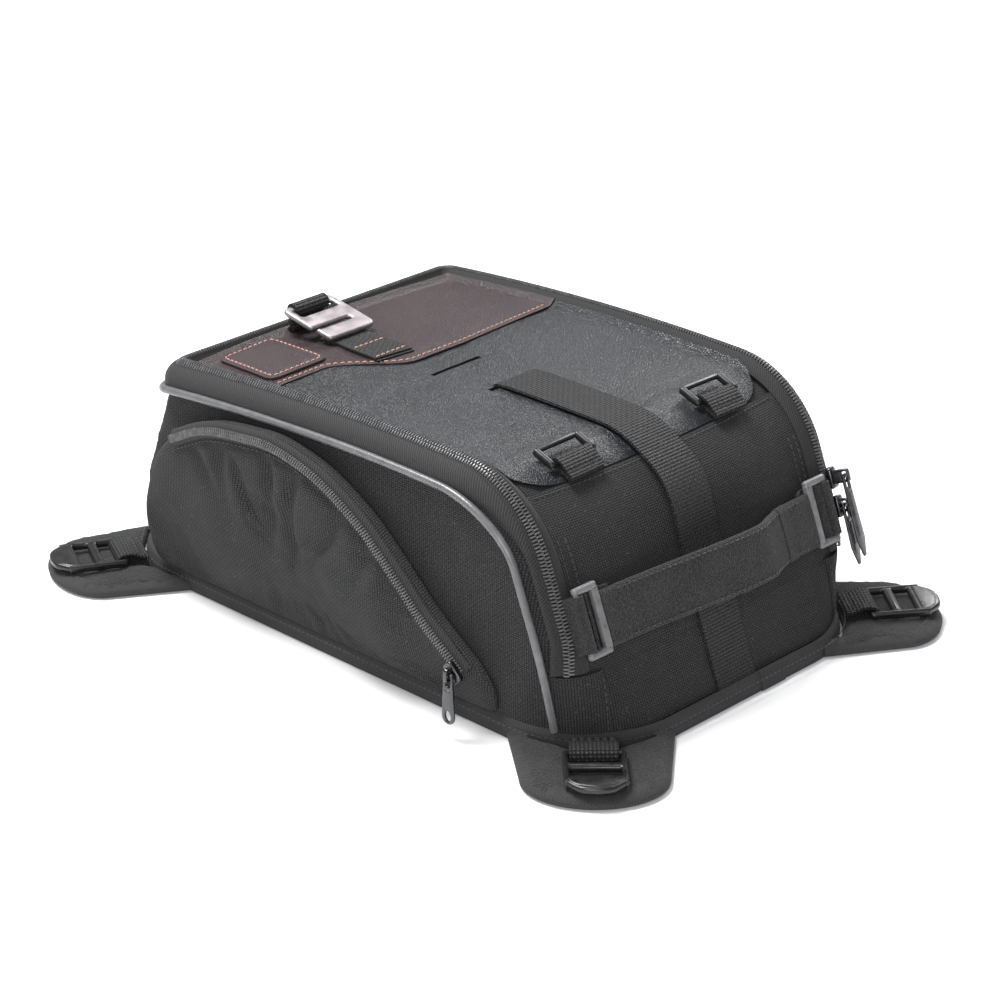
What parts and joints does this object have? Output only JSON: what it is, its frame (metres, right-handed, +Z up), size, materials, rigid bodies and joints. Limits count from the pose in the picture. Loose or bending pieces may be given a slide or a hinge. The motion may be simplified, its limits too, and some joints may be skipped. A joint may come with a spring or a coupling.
{
  "type": "motorcycle tank bag",
  "caption": "Zipped clamshell tank bag with side pockets, hooked closure strap, lashing loops, grab handle and corner flaps with ladder-lock buckles.",
  "frame": {"origin": "middle of the whole part's footprint, on the ground plane", "axes": "+Z up, +Y along the bag's length from the grab handle end towards the hooked strap end, +X to the right seen from the handle end"},
  "size_m": [0.3368, 0.4387, 0.1469],
  "materials": {
    "ballistic_fabric": "black coarse plain-weave nylon, matte",
    "tape_fabric": "dark grey twill zipper tape and binding",
    "webbing": "black ribbed webbing",
    "brushed_fabric": "dark grey brushed loop fabric",
    "black_leather": "grained black synthetic leather",
    "brown_leather": "dark reddish-brown synthetic leather, salmon stitching",
    "zip_coil": "black nylon coil teeth",
    "black_plastic": "satin black moulded plastic",
    "grey_plastic": "mid grey semi-gloss moulded plastic",
    "board": "black stiffener board",
    "piping_cord": "light grey reflective piping",
    "satin_metal": "satin silver die-cast hook"
  },
  "bodies": {
    "bag": {"base_panel": "ballistic_fabric", "base_board": "board", "base_binding": "tape_fabric", "wall_shell": "ballistic_fabric", "zip_tape_body": "tape_fabric", "zip_coil_body": "zip_coil", "piping": "piping_cord", "strap_tail": "webbing", "side_pocket_left": "ballistic_fabric", "pocket_tape_left": "tape_fabric", "pocket_coil_left": "zip_coil", "pocket_slider_left": "black_plastic", "side_pocket_right": "ballistic_fabric", "pocket_tape_right": "tape_fabric", "pocket_coil_right": "zip_coil", "pocket_slider_right": "black_plastic", "corner_flap_near_left": "brushed_fabric", "flap_binding_near_left": "tape_fabric", "buckle_webbing_near_left": "webbing", "corner_flap_near_right": "brushed_fabric", "flap_binding_near_right": "tape_fabric", "buckle_webbing_near_right": "webbing", "corner_flap_far_left": "brushed_fabric", "flap_binding_far_left": "tape_fabric", "buckle_webbing_far_left": "webbing", "corner_flap_far_right": "brushed_fabric", "flap_binding_far_right": "tape_fabric", "buckle_webbing_far_right": "webbing"},
    "lid": {"lid_shell": "ballistic_fabric", "zip_tape_lid": "tape_fabric", "zip_coil_lid": "zip_coil", "leather_top": "black_leather", "brown_yoke": "brown_leather", "side_patch": "brown_leather", "main_strap": "webbing", "hook_anchor": "webbing", "hook_strap": "webbing", "main_slider_upper": "black_plastic", "main_slider_lower": "black_plastic", "d_tab_left": "webbing", "handle_anchor_left": "brushed_fabric", "d_tab_right": "webbing", "handle_anchor_right": "brushed_fabric"},
    "hook": {"g_hook": "satin_metal"},
    "handle": {"handle_strap": "brushed_fabric", "handle_loop_left": "brushed_fabric", "handle_loop_right": "brushed_fabric"},
    "d_loop_left": {"d_loop_left": "black_plastic"},
    "ring_left": {"handle_ring_left": "grey_plastic"},
    "pocket_pull_left": {"pocket_pull_left": "black_plastic"},
    "d_loop_right": {"d_loop_right": "black_plastic"},
    "ring_right": {"handle_ring_right": "grey_plastic"},
    "pocket_pull_right": {"pocket_pull_right": "black_plastic"},
    "main_pull_upper": {"main_pull_upper": "black_plastic"},
    "main_pull_lower": {"main_pull_lower": "black_plastic"},
    "ladder_lock_near_left": {"ladder_lock_near_left": "black_plastic"},
    "ladder_lock_near_right": {"ladder_lock_near_right": "black_plastic"},
    "ladder_lock_far_left": {"ladder_lock_far_left": "black_plastic"},
    "ladder_lock_far_right": {"ladder_lock_far_right": "black_plastic"}
  },
  "joints": [
    {"name": "lid_hinge", "type": "hinge", "parent": "bag", "child": "lid", "pos_m": [0, -0.1665, 0.0427], "axis": [1, 0, 0], "range_deg": [0, 95]},
    {"name": "hook_release", "type": "slide", "parent": "lid", "child": "hook", "axis": [1, 0, 0], "range_m": [0, 0.032], "deforming": ["hook_strap"]},
    {"name": "handle_pull", "type": "slide", "parent": "lid", "child": "handle", "axis": [0, -0.9308, 0.3655], "range_m": [0, 0.006]},
    {"name": "ring_swing_left", "type": "hinge", "parent": "lid", "child": "ring_left", "pos_m": [-0.0985, -0.15437, 0.06992], "axis": [0, -0.3655, -0.9308], "range_deg": [0, 27.5]},
    {"name": "d_loop_lift_left", "type": "hinge", "parent": "lid", "child": "d_loop_left", "pos_m": [-0.05662, -0.10687, 0.13505], "axis": [0.9997, -0.0079, 0.0216], "range_deg": [-5, 110]},
    {"name": "pocket_pull_lift_left", "type": "hinge", "parent": "bag", "child": "pocket_pull_left", "pos_m": [-0.13945, -0.099, 0.037], "axis": [0, 1, 0], "range_deg": [0, 90]},
    {"name": "ring_swing_right", "type": "hinge", "parent": "lid", "child": "ring_right", "pos_m": [0.0985, -0.15437, 0.06992], "axis": [0, 0.3655, 0.9308], "range_deg": [0, 27.5]},
    {"name": "d_loop_lift_right", "type": "hinge", "parent": "lid", "child": "d_loop_right", "pos_m": [0.05662, -0.10687, 0.13505], "axis": [0.9997, 0.0079, -0.0216], "range_deg": [-5, 110]},
    {"name": "pocket_pull_lift_right", "type": "hinge", "parent": "bag", "child": "pocket_pull_right", "pos_m": [0.13945, -0.099, 0.037], "axis": [0, -1, 0], "range_deg": [0, 90]},
    {"name": "main_pull_lift_upper", "type": "hinge", "parent": "lid", "child": "main_pull_upper", "pos_m": [0.11054, -0.15492, 0.08559], "axis": [-0.9612, -0.2568, 0.1008], "range_deg": [0, 85]},
    {"name": "main_pull_lift_lower", "type": "hinge", "parent": "lid", "child": "main_pull_lower", "pos_m": [0.10932, -0.15688, 0.06904], "axis": [-0.9612, -0.2568, 0.1008], "range_deg": [0, 85]},
    {"name": "lock_lift_near_left", "type": "hinge", "parent": "bag", "child": "ladder_lock_near_left", "pos_m": [-0.11245, -0.17545, 0.0092], "axis": [-0.7071, 0.7071, 0], "range_deg": [0, 65]},
    {"name": "lock_lift_near_right", "type": "hinge", "parent": "bag", "child": "ladder_lock_near_right", "pos_m": [0.11784, -0.16946, 0.0092], "axis": [-0.6293, -0.7771, 0], "range_deg": [0, 65]},
    {"name": "lock_lift_far_left", "type": "hinge", "parent": "bag", "child": "ladder_lock_far_left", "pos_m": [-0.12661, 0.17896, 0.0092], "axis": [0.454, 0.891, 0], "range_deg": [0, 65]},
    {"name": "lock_lift_far_right", "type": "hinge", "parent": "bag", "child": "ladder_lock_far_right", "pos_m": [0.12661, 0.17896, 0.0092], "axis": [0.454, -0.891, 0], "range_deg": [0, 65]}
  ],
  "couplings": [
    {"joint": "ring_swing_left", "follows": "handle_pull", "rad_per_m": 80},
    {"joint": "ring_swing_right", "follows": "handle_pull", "rad_per_m": 80},
    {"joint": "main_pull_lift_upper", "follows": "main_pull_lift_lower", "ratio": 1}
  ]
}
